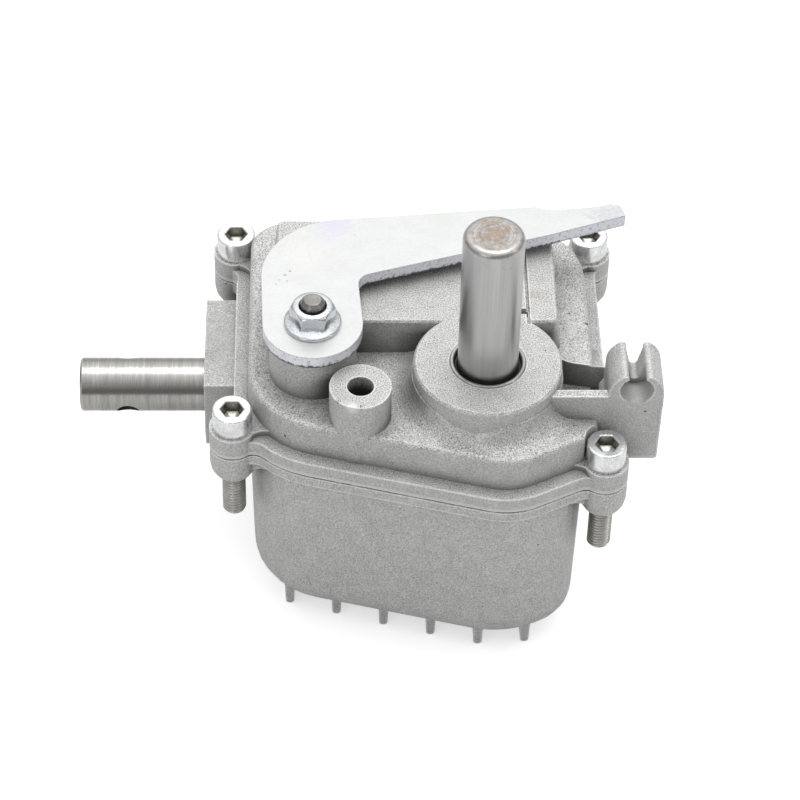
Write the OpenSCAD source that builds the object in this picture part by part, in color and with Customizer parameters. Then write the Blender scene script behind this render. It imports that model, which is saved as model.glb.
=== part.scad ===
// Worm gearbox with a dog clutch, a shift lever and a cable clamp.
// Millimetres. The origin is on the input shaft's axis, in the plane of the mounting faces.
// +Z runs up the input shaft, -X out along the output shaft, -Y is the front.

/* [Gears] */
// Module of the worm and the wheel
gear_module = 2; // [1.9:0.02:2.1]
// Teeth of the worm wheel
wheel_teeth = 22; // [20:1:24]
// Pitch radius of the worm
worm_pitch_r = 9; // [8.6:0.1:9.6]
// Pressure angle of thread and teeth
pressure_angle = 20; // [18:1:22]
// Play on each flank of the thread
flank_play = 0.14; // [0.1:0.01:0.2]
// Length of the worm's thread
worm_len = 28; // [22:1:30]
// Width of the wheel's rim
rim_w = 14; // [11:0.5:16]
// Radius of the wheel's hub and of the clutch sleeve
clutch_r = 13; // [12.4:0.2:13.6]
// Number of dogs on the wheel and on the sleeve
dog_count = 4; // [3:1:5]
// Height of each dog
dog_h = 3; // [2:0.2:3.4]
// Angle of play between two dogs in mesh
dog_play = 5; // [2:0.5:12]

/* [Casing] */
// Height of the mounting faces over the joint of the two castings
cover_h = 24; // [22:0.5:28]
// Height of the cover's flat roof over that joint
roof_h = 14; // [12.5:0.5:15]
// Wall of both castings
wall = 3.4; // [2.8:0.1:3.8]
// Thickness of the cover's flange
cover_flange_h = 4.5; // [3.5:0.25:5.5]
// Thickness of the pan's flange
pan_flange_h = 3.2; // [2.6:0.2:4.5]
// Thickness of the gasket
gasket_h = 0.5; // [0.3:0.1:1]
// Step from the flange's edge to the casting's wall
flange_step = 3.8; // [3:0.2:4.4]
// Distance from the input axis to the left edge of the flange
case_left = 63.2; // [62:0.4:70]
// Distance from the input axis to the right edge of the flange
case_right = 30.1; // [29.5:0.2:34]
// Distance from the input axis to the front point of the flange
case_front = 29.9; // [28.5:0.2:33]
// Room between the wheel's rim and the rear wall
rear_room = 2.7; // [2:0.1:5]
// Depth of the output axis below the joint
axis_drop = 14.8; // [14:0.2:18]
// Room between the wheel's rim and the pan's floor
floor_room = 7.9; // [6:0.1:11]
// Radius of the edge round the pan's floor
pan_edge_r = 8; // [5:0.5:9]
// Draft of the pan's wall, from the joint to the floor
pan_draft = 0.9; // [0.4:0.1:1.4]
// Number of cooling fins
fin_count = 6; // [4:1:7]
// Distance from one fin to the next
fin_pitch = 12.15; // [11:0.05:12.8]
// Thickness of a fin at its root
fin_w = 2.6; // [2:0.1:3.4]
// How far a fin stands out of the floor
fin_h = 3.8; // [2.5:0.1:5]
// Radius of a screw ear
ear_r = 5.9; // [5.6:0.1:6.6]
// Height of the cover's ears over the joint
ear_up = 6.25; // [5.5:0.25:8]
// Depth of the pan's ears below the joint
ear_down = 10; // [8:0.5:12]

/* [Bosses] */
// Radius of the main boss at its top
boss_r = 18.4; // [18:0.2:19.4]
// Radius of the fillet at the main boss's foot
boss_fillet = 6; // [2:0.1:6.4]
// Radius of the tapped boss
tapped_boss_r = 7.7; // [6.5:0.1:8.5]
// Radius of the tapped hole's wall, M8 minor
tapped_hole_r = 3.32; // [2.6:0.02:3.6]
// Depth of the tapped hole
tapped_hole_depth = 17; // [12:1:19]
// Radius of the selector boss
selector_boss_r = 10.9; // [9:0.1:12]
// Height of the selector boss over the mounting faces
selector_boss_up = 2.5; // [1.5:0.25:4]
// Width of the output shaft's block
block_w = 31.9; // [29:0.1:34]
// How far that block stands out of the flange
block_out = 7.9; // [7.9:0.1:12]

/* [Cable clamp] */
// Radius of the cable ferrule's bore
ferrule_r = 4.2; // [3.6:0.1:4.4]
// Length of that bore
ferrule_len = 7; // [5:0.5:9]
// Length of the whole clamp along the cable
clamp_len = 12.7; // [11:0.1:15]
// Radius of the clamp's round top
clamp_top_r = 6.8; // [6.4:0.1:7.4]
// Width of the slot that the cable drops through
cable_slot = 4.2; // [3:0.1:4.4]
// Thickness of the rib between boss and clamp
rib_w = 2.5; // [2:0.1:4]

/* [Input shaft] */
// Radius of the input shaft
input_r = 7.5; // [7.2:0.05:7.5]
// How far the input shaft stands over the mounting faces
input_up = 42.3; // [30:0.5:60]
// Radius of the bearing's outer ring
bearing_r = 16; // [15.6:0.1:16]
// Height of the bearing
bearing_h = 9; // [8:0.5:9]
// Radius of a bearing ball
ball_r = 2.38; // [2.1:0.02:2.4]
// Number of bearing balls
ball_count = 9; // [7:1:10]
// Radius of the shaft inside the worm
worm_bore_r = 4.5; // [4:0.1:4.8]

/* [Output shaft] */
// Radius of the output shaft
output_r = 7; // [6.8:0.05:7.3]
// How far the output shaft stands out of its block
output_out = 32.7; // [24:0.5:50]
// Radius of the cross hole
cross_hole_r = 3; // [2:0.1:3.2]
// Distance from the shaft's end to the cross hole
cross_hole_in = 12.3; // [8:0.1:14]
// Angle of the cross hole from the vertical
cross_hole_turn = 55; // [0:5:90]
// Number of splines
spline_count = 6; // [4:2:8]
// Width of a spline's groove
spline_w = 3; // [2:0.1:3.2]

/* [Shift] */
// Angle through which the lever turns
shift_angle = 12; // [8:0.5:13]
// Radius of the selector shaft
selector_r = 5; // [4.6:0.1:5.2]
// Distance from the output axis to the selector axis
fork_reach = 23.5; // [22.5:0.25:24.5]
// Distance from the input axis to the selector axis, along the output shaft
selector_left = 43.2; // [42.4:0.2:44]
// Thickness of the lever
lever_t = 3.5; // [2.5:0.1:4]
// Distance from the lever's pivot to its tip, along the output shaft
lever_len = 79.9; // [70:0.5:90]
// Radius of the lever's head
lever_head_r = 12.4; // [11.5:0.1:13]
// Upward bend of the lever's tip, in degrees
tip_bend = 3; // [0:0.5:12]
// Wire of the return spring
wire_d = 1.4; // [1:0.1:1.5]

/* [Screws] */
// Radius of the screws' thread
screw_r = 3; // [2.8:0.1:3]
// Length of the screws under the head
screw_len = 30; // [24:1:36]

/* [Fits] */
// Gap all round a shaft that turns in a bush
run_gap = 0.04; // [0.02:0.01:0.08]
// Gap between pieces that are pressed or screwed together
seat_gap = 0.02; // [0.01:0.01:0.03]
// End play between pieces that turn on each other
end_play = 0.12; // [0.1:0.01:0.2]

/* [Hidden] */

cast_grey = "#a9abab";
steel = "#b9bcc0";
zinc = "#d5d9df";
bronze = "#b58a45";
black_rubber = "#2b2b2d";

// Gears
lead = PI * gear_module;
lead_angle = atan(gear_module / (2 * worm_pitch_r));
wheel_pitch_r = wheel_teeth * gear_module / 2;
tip_gap = 0.25 * gear_module;
worm_tip_r = worm_pitch_r + gear_module;
worm_root_r = worm_pitch_r - gear_module - tip_gap;
wheel_root_r = wheel_pitch_r - gear_module - tip_gap;
wheel_throat_r = wheel_pitch_r + gear_module;
wheel_rim_r = wheel_throat_r + 0.75 * gear_module;
axis_y = worm_pitch_r + wheel_pitch_r;
joint_z = -cover_h;
axis_z = joint_z - axis_drop;

// Casing outline, seen from above
case_rear = axis_y + wheel_rim_r + rear_room + wall + flange_step;
front_left_y = 18.4 - case_front;
front_nose = [6.3, -case_front];
front_right_y = 12 - case_front;
right_flare = [1.2, 0.6];
corner_r = [25, 18, 14, 16, 18];
body_corner_r = [25, 18, 14, 24, 13];
outline = [
    [-case_left, front_left_y], front_nose, [case_right + right_flare[0], front_right_y + right_flare[0] / 2],
    [case_right + right_flare[1], case_rear], [-case_left, case_rear]
];
pan_outline = [
    [-case_left, front_left_y], front_nose, [case_right, front_right_y], [case_right, case_rear],
    [-case_left, case_rear]
];
screws = [
    [-case_left, front_left_y + 6.7], [case_right - 0.9, front_right_y + 1.2],
    [case_right - 0.8, case_rear - 7], [-case_left - 0.2, case_rear - 6.6]
];
screw_head_r = 5 / 3 * screw_r;
ear_sink = 0.3;
flange_blend = 4;
ear_blend = 5;
ear_foot = 4;
pan_step = [0.8, 0.8, 5.6, flange_step, 3.8];
pan_corner_r = [22, 26, 14, 14, 15];
pan_points = moved_edges(pan_outline, pan_step);
fin_in = 4.5;
fins_x = -18.85;
arc_steps = 7;
cover_edge_r = 1.4;
roof_z = joint_z + roof_h;
cover_flange_z = joint_z + cover_flange_h;
pan_flange_z = joint_z - pan_flange_h;
floor_z = axis_z - wheel_rim_r - floor_room;
base_z = floor_z - wall;
left_wall_x = -case_left + pan_step[4] + wall;
right_wall_x = case_right - pan_step[2] - wall;

// Plateau over the wheel: left, right, front and rear edge
plateau = [-52.4, 18.2, 14.4, 52.1];
plateau_corner_r = [1.5, 1.5, 1.5, 1.5];
plateau_edge = 0.5;
plateau_draft = 1.2;
plateau_under_z = -wall - 1.6;
groove_at = 10.8;
groove_size = [0.8, 1.2];
pit_size = [2, 2, 4];

// Tapped boss
tapped_at = [-31.5, -8.7];

// Input stack, from the mounting face down
seal_track_r = input_r - 0.2;
seal_depth = 3.4;
seal_r = 9.5;
ring_t = 1;
bearing_top_z = -seal_depth - 0.2 - ring_t - 0.6;
bearing_low_z = bearing_top_z - bearing_h;
ball_pitch_r = (bearing_r + input_r) / 2;
cage_rim = 0.9;
skirt_z = bearing_low_z - 2.6;
collar_h = 2;
worm_z = axis_z;
worm_top_z = worm_z + worm_len / 2 + 2.5;
worm_low_z = worm_z - worm_len / 2 - 3.5;
washer_t = 1.2;
lower_bush_z = worm_low_z - washer_t - 2 * end_play;
lower_bush_len = 10;

// Output stack, from the left
block_x = -case_left - block_out;
block_shift = 0.6;
output_chamfer = 0.5;
output_tip_x = block_x - output_out;
seal_len = 7;
seal_bore_r = output_r + 5;
bush_t = 3;
left_bush_x = block_x + seal_len + 1;
left_face_x = left_wall_x + 1.3;
left_washer_x = left_face_x + end_play;
left_ring_x = left_washer_x + washer_t + end_play;
journal_r = output_r - 0.5;
hub_x = -rim_w / 2 - 9.5;
dog_inner_r = output_r + 1.6;
dog_outer_r = clutch_r - 0.5;
dog_angle = 180 / dog_count - dog_play;
rim_seat_r = wheel_root_r - 3;
rim_edge = 1;
hub_right_x = rim_w / 2 + 2;
right_boss_x = hub_right_x + washer_t + 2 * end_play;
right_bush_len = 9;
shaft_right_x = right_boss_x + right_bush_len - 0.5;

// Shift
selector_at = [-selector_left, axis_y - fork_reach];
shoe_throw = fork_reach * sin(shift_angle / 2);
groove_w = 6;
groove_r = clutch_r - 2.8;
groove_x = -selector_left - shoe_throw;
sleeve_face_x = hub_x - dog_h - 0.3 - 2 * shoe_throw;
sleeve_left_x = groove_x - groove_w / 2 - 2;
selector_face_z = selector_boss_up;
lever_z = selector_face_z + seat_gap;
nut_z = lever_z + lever_t + seat_gap;
nut_half = 5 / 3 * screw_r;
nut_h = 2 * screw_r;
nut_flange_r = nut_half + 2.1;
nut_sink = 0.7;
stud_chamfer = 0.9;
inner_boss_z = roof_z - wall - 7.4;
fork_top_z = inner_boss_z - end_play;
fork_low_z = 2 * axis_z - fork_top_z;
arm_t = 3.2;
arm_gap = 0.8;
arm_z = axis_z + clutch_r + arm_gap;
fork_hub_r = selector_r + 2.5;
lever_flat = selector_r - 1;

// Clamp
clamp_x = 36.2;
clamp_left_x = 28.3;
clamp_front_y = -10.3;
clamp_arc_drop = 1.3;
clamp_waist_z = -8;
clamp_foot_in = 0.3;
lip_r = 1;
cable_w = 2.2;
cable_z = -2.6;
slot_shoulder_z = 2.8;
rib_top_z = -2.1;
pocket_z = cover_flange_z;
pocket_x = 10;
pocket_rear = [11.9, 7.3];
gusset = [24, 30.2, 24];

// Unit vector along v
function unit(v) = v / norm(v);

// Corner b of the path a, b, c moved inwards by d
function moved_in(a, b, c, d) =
    let (u = unit(a - b), v = unit(c - b), half = acos(u * v) / 2)
    b + unit(u + v) * d / sin(half);

// Inward normal of the edge that starts at corner i of an outline
function inward(points, i) =
    let (along = unit(points[(i + 1) % len(points)] - points[i % len(points)]))
    [-along.y, along.x];

// Outline with each edge moved inwards by its own step; step i belongs to the edge after corner i
function moved_edges(points, steps) =
    let (n = len(points))
    [for (i = [0:n - 1])
        let (a = inward(points, i + n - 1), b = inward(points, i), p = steps[(i + n - 1) % n], q = steps[i])
        points[i] + [b.y * p - a.y * q, a.x * q - b.x * p] / (a.x * b.y - a.y * b.x)];

// Arc of radius r that rounds corner b of the path a, b, c
function round_corner(a, b, c, r) =
    let (u = unit(a - b), v = unit(c - b), half = acos(u * v) / 2)
    let (m = b + unit(u + v) * r / sin(half), p = b + u * r / tan(half) - m, q = b + v * r / tan(half) - m)
    let (from = atan2(p.y, p.x), turn = (atan2(q.y, q.x) - from + 540) % 360 - 180)
    [for (i = [0:arc_steps]) m + r * [cos(from + turn * i / arc_steps), sin(from + turn * i / arc_steps)]];

// Closed outline with rounded corners, all of it moved inwards by d
function rounded(points, radii, d) =
    let (n = len(points))
    let (in = [for (i = [0:n - 1]) moved_in(points[(i + n - 1) % n], points[i], points[(i + 1) % n], d)])
    [for (i = [0:n - 1]) each round_corner(in[(i + n - 1) % n], in[i], in[(i + 1) % n], max(radii[i] - d, 1))];

// Points on an arc round m, from one angle to another
function arc(m, r, from, to, steps) =
    [for (i = [0:steps]) m + r * [cos(from + (to - from) * i / steps), sin(from + (to - from) * i / steps)]];

// Corners of an upright rectangle, from [left, right, front, rear]
function corners(b) = [[b[0], b[2]], [b[1], b[2]], [b[1], b[3]], [b[0], b[3]]];

// Solid through a stack of outlines, each given as [height, points], from the lowest up
module loft(levels) {
    n = len(levels[0][1]);
    top = (len(levels) - 1) * n;
    polyhedron(
        points = [for (level = levels) for (p = level[1]) [p.x, p.y, level[0]]],
        faces = concat(
            [[for (i = [0:n - 1]) i]],
            [[for (i = [n - 1:-1:0]) top + i]],
            [for (k = [0:len(levels) - 2]) for (i = [0:n - 1])
                [k * n + i, (k + 1) * n + i, (k + 1) * n + (i + 1) % n, k * n + (i + 1) % n]]
        )
    );
}

// Upright stretch of the casing's outline, moved inwards by d
module case_prism(low, high, d) {
    translate([0, 0, low])
        linear_extrude(high - low)
            polygon(rounded(outline, body_corner_r, d));
}

// Ring round the Z axis
module ring(low, high, inner, outer) {
    rotate_extrude($fn = 96)
        translate([inner, low])
            square([outer - inner, high - low]);
}

// Turns what is drawn along +Z so that it lies along +X on the output axis
module on_output_axis() {
    translate([0, axis_y, axis_z])
        rotate([-90, 0, 0])
            rotate([0, 90, 0])
                children();
}

// Cylinder along the output axis
module output_cylinder(from, to, r) {
    on_output_axis()
        translate([0, 0, from])
            cylinder(h = to - from, r = r, $fn = 96);
}

// Layer of a casing: an outline with the four screw ears blended into it
module ear_layer(low, high, points, blend) {
    translate([0, 0, low])
        linear_extrude(high - low)
            offset(r = -blend, $fn = 40)
                offset(delta = blend) {
                    polygon(points);
                    for (at = screws)
                        translate([at.x, at.y])
                            circle(r = ear_r - ear_sink, $fn = 40);
                }
}

// Upper casing

// Outside of the cover's body, with its rounded roof edge
module cover_body() {
    foot = flange_step - 0.5;
    steps = 4;
    loft(concat(
        [[joint_z + gasket_h / 2, rounded(outline, body_corner_r, foot)]],
        [for (i = [0:steps])
            let (a = 90 * i / steps)
            [roof_z - cover_edge_r * (1 - sin(a)),
             rounded(outline, body_corner_r, foot + 0.5 + cover_edge_r * (1 - cos(a)))]]
    ));
}

// Raised plateau that makes room for the wheel
module plateau_body() {
    loft([
        [roof_z - 2, rounded(corners(plateau), plateau_corner_r, -plateau_draft)],
        [-0.6, rounded(corners(plateau), plateau_corner_r, 0)],
        [0, rounded(corners(plateau), plateau_corner_r, plateau_edge)]
    ]);
}

// Space behind the rib, beside the main boss
module pocket(grow, low, high) {
    difference() {
        translate([0, 0, low])
            linear_extrude(high - low)
                polygon([
                    [pocket_x - grow, clamp_front_y + rib_w - grow],
                    [case_right + 4, clamp_front_y + rib_w - grow],
                    [case_right + 4, pocket_rear[1] + grow], [pocket_x - grow, pocket_rear[0] + grow]
                ]);
        cylinder(h = 200, r = boss_r + 0.5 - grow, center = true, $fn = 96);
    }
}

module cover_cavity() {
    difference() {
        case_prism(joint_z - 1, roof_z - wall, flange_step + wall);
        pocket(wall - 0.6, pocket_z - wall + 0.4, roof_z);
        translate([tapped_at.x, tapped_at.y, joint_z - 2])
            cylinder(h = cover_h, r = tapped_boss_r, $fn = 64);
    }
    translate([0, 0, roof_z - wall - 1])
        linear_extrude(plateau_under_z - roof_z + wall + 1)
            polygon(rounded(corners(plateau), plateau_corner_r, wall));
}

module main_boss() {
    rotate_extrude($fn = 96)
        polygon([[0, skirt_z], [boss_r + 0.2, skirt_z], [boss_r + 0.2, roof_z], [boss_r, -0.6], [boss_r - 0.6, 0], [0, 0]]);
}

// Wide fillet at the main boss's foot, ending at the roof's edge
module boss_foot() {
    foot_r = boss_r + 0.4 + boss_fillet;
    intersection() {
        rotate_extrude($fn = 96)
            polygon(concat(
                [[0, roof_z - 1], [foot_r, roof_z - 1]],
                [for (a = [0:10:90]) [foot_r - boss_fillet * sin(a), roof_z + boss_fillet * (1 - cos(a))]],
                [[0, roof_z + boss_fillet]]
            ));
        loft([
            [roof_z - 2, rounded(outline, body_corner_r, flange_step + cover_edge_r)],
            [roof_z, rounded(outline, body_corner_r, flange_step + cover_edge_r)],
            [roof_z + boss_fillet, rounded(outline, body_corner_r, flange_step + cover_edge_r + boss_fillet)]
        ]);
    }
}

// Section of the clamp: round top, and a tapering slot for the cable with rounded lips
module clamp_section() {
    low = joint_z + gasket_h / 2;
    right = clamp_top_r - clamp_foot_in;
    offset(r = lip_r, $fn = 32)
        offset(delta = -lip_r)
            difference() {
                polygon(concat(
                    arc([0, -clamp_arc_drop], clamp_top_r, 0, 180, 18),
                    [[-clamp_top_r, clamp_waist_z], [clamp_left_x - clamp_x, clamp_waist_z - 2]],
                    [[clamp_left_x - clamp_x, low], [right, low]]
                ));
                polygon(concat(
                    [[cable_slot / 2, 20], [-cable_slot / 2, 20], [-cable_slot / 2, slot_shoulder_z]],
                    arc([0, cable_z + cable_w / 2], cable_w / 2, 180, 360, 8),
                    [[cable_slot / 2, slot_shoulder_z]]
                ));
            }
}

module cable_clamp() {
    translate([clamp_x, clamp_front_y + clamp_len, 0])
        rotate([90, 0, 0])
            linear_extrude(clamp_len)
                clamp_section();
}

// Gusset behind the pocket, sloping from the roof down to the flange; gusset holds its left, right and rear end
module sloped_gusset() {
    translate([gusset[0], 0, 0])
        rotate([90, 0, 90])
            linear_extrude(gusset[1] - gusset[0])
                polygon([
                    [pocket_rear[1] - 1, cover_flange_z - 1], [gusset[2], cover_flange_z - 1],
                    [gusset[2], cover_flange_z], [pocket_rear[1] + 1, roof_z], [pocket_rear[1] - 1, roof_z]
                ]);
}

module ferrule_hole() {
    translate([clamp_x, clamp_front_y + ferrule_len, 0])
        rotate([90, 0, 0])
            cylinder(h = ferrule_len + 1, r = ferrule_r, $fn = 64);
}

module upper_casing() {
    color(cast_grey)
    difference() {
        union() {
            difference() {
                union() {
                    difference() {
                        union() {
                            cover_body();
                            boss_foot();
                            sloped_gusset();
                        }
                        pocket(0, pocket_z, 1);
                    }
                    ear_layer(joint_z + gasket_h / 2, cover_flange_z, rounded(outline, corner_r, 0), flange_blend);
                    ear_layer(cover_flange_z - 0.5, joint_z + ear_up,
                              rounded(outline, body_corner_r, flange_step + 0.4), ear_blend);
                    plateau_body();
                }
                cover_cavity();
            }
            main_boss();
            translate([tapped_at.x, tapped_at.y, joint_z + gasket_h / 2])
                cylinder(h = cover_h - gasket_h / 2, r = tapped_boss_r, $fn = 64);
            translate([selector_at.x, selector_at.y, roof_z - 1])
                cylinder(h = selector_boss_up - roof_z + 1, r = selector_boss_r, $fn = 64);
            translate([selector_at.x, selector_at.y, inner_boss_z])
                cylinder(h = roof_z - inner_boss_z, r = selector_r + 3, $fn = 64);
            for (at = screws)
                translate([at.x, at.y, joint_z + gasket_h / 2])
                    cylinder(h = ear_up - gasket_h / 2, r = ear_r, $fn = 64);
            translate([boss_r - 4, clamp_front_y, joint_z + gasket_h / 2])
                cube([clamp_left_x - boss_r + 6, rib_w, rib_top_z - joint_z - gasket_h / 2]);
            cable_clamp();
        }
        ferrule_hole();
        translate([0, 0, -seal_depth])
            cylinder(h = seal_depth + 1, r = seal_r, $fn = 96);
        translate([0, 0, bearing_top_z - 1])
            cylinder(h = -seal_depth - bearing_top_z + 1.01, r = seal_r + 2.2, $fn = 96);
        translate([0, 0, skirt_z - 1])
            cylinder(h = bearing_top_z - skirt_z + 1, r = bearing_r + seat_gap, $fn = 96);
        ring(bearing_low_z - end_play - ring_t, bearing_low_z - 0.02, bearing_r - 1, bearing_r + 0.8);
        on_output_axis()
            cylinder(h = rim_w + 3, r = wheel_rim_r + 1.2, center = true, $fn = 96);
        translate([selector_at.x, selector_at.y, inner_boss_z - 1])
            cylinder(h = 60, r = selector_r + run_gap, $fn = 64);
        translate([tapped_at.x, tapped_at.y, -tapped_hole_depth])
            cylinder(h = tapped_hole_depth + 1, r = tapped_hole_r, $fn = 48);
        for (at = screws)
            translate([at.x, at.y, joint_z - 1])
                cylinder(h = 20, r = screw_r + 0.2, $fn = 48);
        for (at = screws)
            translate([at.x, at.y, joint_z + ear_up])
                cylinder(h = 20, r = screw_head_r + 0.5, $fn = 64);
        translate([groove_at - groove_size[0] / 2, plateau[2] - 1, -groove_size[1]])
            cube([groove_size[0], plateau[3] - plateau[2] + 2, 3]);
        translate([groove_at - pit_size.x, plateau[2] + 2.6, -pit_size.z])
            cube([pit_size.x, pit_size.y, pit_size.z + 1]);
    }
}

// Lower casing

module pan_outside() {
    steps = 5;
    loft(concat(
        [for (i = [0:steps])
            let (a = 90 * i / steps)
            [base_z + pan_edge_r * (1 - cos(a)),
             rounded(pan_points, pan_corner_r, pan_draft + pan_edge_r * (1 - sin(a)))]],
        [[joint_z - gasket_h / 2, rounded(pan_points, pan_corner_r, 0)]]
    ));
}

module pan_cavity() {
    steps = 3;
    inner_r = pan_edge_r - wall;
    loft(concat(
        [for (i = [0:steps])
            let (a = 90 * i / steps)
            [floor_z + inner_r * (1 - cos(a)),
             rounded(pan_points, pan_corner_r, pan_draft + wall + inner_r * (1 - sin(a)))]],
        [[joint_z + 1, rounded(pan_points, pan_corner_r, wall)]]
    ));
}

// Half-round block that carries the output shaft's seal and bush
module output_block() {
    translate([0, block_shift, 0])
        intersection() {
            union() {
                output_cylinder(block_x, left_wall_x, block_w / 2);
                translate([block_x, axis_y - block_w / 2, axis_z])
                    cube([left_wall_x - block_x, block_w, axis_drop]);
            }
            translate([block_x - 1, axis_y - block_w, axis_z - block_w])
                cube([left_wall_x - block_x + 2, 2 * block_w, axis_drop + block_w - gasket_h / 2]);
        }
}

module pan_ear(at) {
    translate([at.x, at.y, 0])
        rotate_extrude($fn = 64)
            polygon([
                [0, joint_z - ear_down], [ear_r - 2.6, joint_z - ear_down],
                [ear_r - 1.2, joint_z - ear_down + 0.9], [ear_r - 0.3, joint_z - ear_down + 2.6],
                [ear_r, joint_z - ear_down + 4.5],
                [ear_r, joint_z - gasket_h / 2], [0, joint_z - gasket_h / 2]
            ]);
}

module cooling_fin(x) {
    nose = front_nose.x;
    slope = (front_nose.y - front_left_y) / (nose + case_left);
    run_back = abs(min(x - nose, 0) * slope) + max(x - nose, 0) * 0.5 + max(-22 - x, 0) * 0.05;
    front = front_nose.y + run_back + fin_in;
    tip_r = fin_w / 2 - 0.2;
    translate([x, front, base_z])
        rotate([-90, 0, 0])
            linear_extrude(case_rear - flange_step - fin_in - front)
                polygon(concat([[-fin_w / 2, -3]], arc([0, fin_h - tip_r], tip_r, 180, 0, 6), [[fin_w / 2, -3]]));
}

module lower_casing() {
    first_fin = fins_x - (fin_count - 1) / 2 * fin_pitch;
    color(cast_grey)
    difference() {
        union() {
            difference() {
                union() {
                    pan_outside();
                    ear_layer(pan_flange_z, joint_z - gasket_h / 2, rounded(outline, corner_r, 0), flange_blend);
                    ear_layer(joint_z - ear_down + ear_foot, pan_flange_z + 0.5, rounded(pan_points, pan_corner_r, 0.8),
                              ear_blend);
                    output_block();
                    for (i = [0:fin_count - 1])
                        cooling_fin(first_fin + i * fin_pitch);
                }
                pan_cavity();
            }
            for (at = screws)
                pan_ear(at);
            output_cylinder(left_wall_x - 1, left_face_x, output_r + bush_t + 3);
            output_cylinder(right_boss_x, right_wall_x + 1, output_r + bush_t + 3);
            translate([0, 0, floor_z - 1])
                cylinder(h = lower_bush_z - floor_z + 1, r = worm_bore_r + 5.5, $fn = 64);
        }
        output_cylinder(block_x - 1, block_x + seal_len + 0.5, seal_bore_r);
        output_cylinder(block_x, left_face_x + 1, output_r + bush_t);
        output_cylinder(right_boss_x - 1, right_boss_x + right_bush_len + 0.6, output_r - 0.5 + bush_t);
        translate([0, 0, lower_bush_z - lower_bush_len])
            cylinder(h = lower_bush_len + 1, r = worm_bore_r + 2.5, $fn = 64);
        translate([0, 0, floor_z - 0.4])
            cylinder(h = lower_bush_z - floor_z, r = worm_bore_r + 0.6, $fn = 64);
        for (at = screws)
            translate([at.x, at.y, joint_z - 40])
                cylinder(h = 50, r = screw_r + seat_gap, $fn = 48);
    }
}

module casing_gasket() {
    color("#3a3b3c")
    difference() {
        ear_layer(joint_z - gasket_h / 2, joint_z + gasket_h / 2, rounded(outline, corner_r, 0.3), flange_blend);
        case_prism(joint_z - 1, joint_z + 1, flange_step + wall);
        for (at = screws)
            translate([at.x, at.y, joint_z - 1])
                cylinder(h = 2, r = screw_r + 0.2, $fn = 48);
    }
}

// Socket head screw: head, hexagon socket and shank
module casing_screws() {
    head_h = 2 * screw_r;
    color(zinc)
    for (at = screws)
        translate([at.x, at.y, joint_z + ear_up + seat_gap])
            difference() {
                union() {
                    rotate_extrude($fn = 64)
                        polygon([[0, 0], [screw_head_r, 0], [screw_head_r, head_h - 0.4], [screw_head_r - 0.4, head_h], [0, head_h]]);
                    rotate_extrude($fn = 48)
                        polygon([
                            [0, -screw_len], [screw_r - 1, -screw_len], [screw_r - seat_gap, -screw_len + 1],
                            [screw_r - seat_gap, 1], [0, 1]
                        ]);
                }
                translate([0, 0, head_h / 2])
                    cylinder(h = head_h, r = head_h / 2 / cos(30) * 0.833, $fn = 6);
            }
}

// Input line

module input_shaft() {
    color(steel)
    difference() {
        rotate_extrude($fn = 96)
            polygon(concat(
                [[0, lower_bush_z - lower_bush_len - 1], [worm_bore_r, lower_bush_z - lower_bush_len - 1]],
                [[worm_bore_r, worm_top_z], [worm_bore_r + 1.7, worm_top_z]],
                [[worm_bore_r + 1.7, bearing_low_z - collar_h], [input_r + 1.8, bearing_low_z - collar_h]],
                [[input_r + 1.8, bearing_low_z], [input_r, bearing_low_z]],
                [[input_r, bearing_top_z + seat_gap], [input_r - 0.6, bearing_top_z + seat_gap]],
                [[input_r - 0.6, bearing_top_z + ring_t + 0.1], [seal_track_r, bearing_top_z + ring_t + 0.1]],
                [[seal_track_r, 0], [input_r, 0]],
                [for (a = [0:15:90]) [input_r - 1.8 + 1.8 * cos(a), input_up - 1.8 + 1.8 * sin(a)]],
                [[0, input_up]]
            ));
        translate([0, 0, worm_low_z + 1.8])
            rotate([0, 90, 0])
                cylinder(h = 40, r = 1.25, center = true, $fn = 32);
    }
}

module input_seal_ring() {
    color(steel)
        rotate_extrude($fn = 96)
            polygon([
                [seal_r - 1.1, -2.4], [seal_r - seat_gap, -2.4], [seal_r - seat_gap, 0.1], [seal_r - 0.3, 0.4],
                [seal_r - 0.8, 0.4], [seal_r - 1.1, 0.1]
            ]);
}

module input_seal() {
    color(black_rubber)
        rotate_extrude($fn = 96)
            polygon([
                [seal_track_r + run_gap, -1.7], [seal_track_r + 0.5, -1.1], [seal_track_r + 0.9, -1.1],
                [seal_track_r + 0.9, -2.5], [seal_r - seat_gap, -2.5], [seal_r - seat_gap, -seal_depth],
                [seal_track_r + 0.5, -seal_depth], [seal_track_r + 0.5, -2.2]
            ]);
}

// Open ring that snaps into a groove, drawn round the Z axis
module snap_ring(low, inner, outer, gap) {
    difference() {
        ring(low, low + ring_t - 0.1, inner, outer);
        translate([0, -gap / 2, low - 1])
            cube([outer + 2, gap, ring_t + 2]);
    }
}

module shaft_retaining_ring() {
    color(steel)
        snap_ring(bearing_top_z + 0.1, input_r - 0.5, input_r + 2.7, 4);
}

module bearing_retaining_ring() {
    color(steel)
        snap_ring(bearing_low_z - end_play - ring_t + 0.1, bearing_r - 2.6, bearing_r + 0.7, 8);
}

// Bearing ring with its ball groove
module bearing_ring(inner, outer) {
    color(steel)
    difference() {
        ring(bearing_low_z + seat_gap, bearing_top_z, inner, outer);
        translate([0, 0, (bearing_low_z + bearing_top_z) / 2])
            rotate_extrude($fn = 96)
                translate([ball_pitch_r, 0])
                    circle(r = ball_r + run_gap, $fn = 32);
    }
}

module bearing_outer_ring() {
    bearing_ring(ball_pitch_r + 1.5, bearing_r);
}

module bearing_inner_ring() {
    bearing_ring(input_r + seat_gap, ball_pitch_r - 1.5);
}

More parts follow.
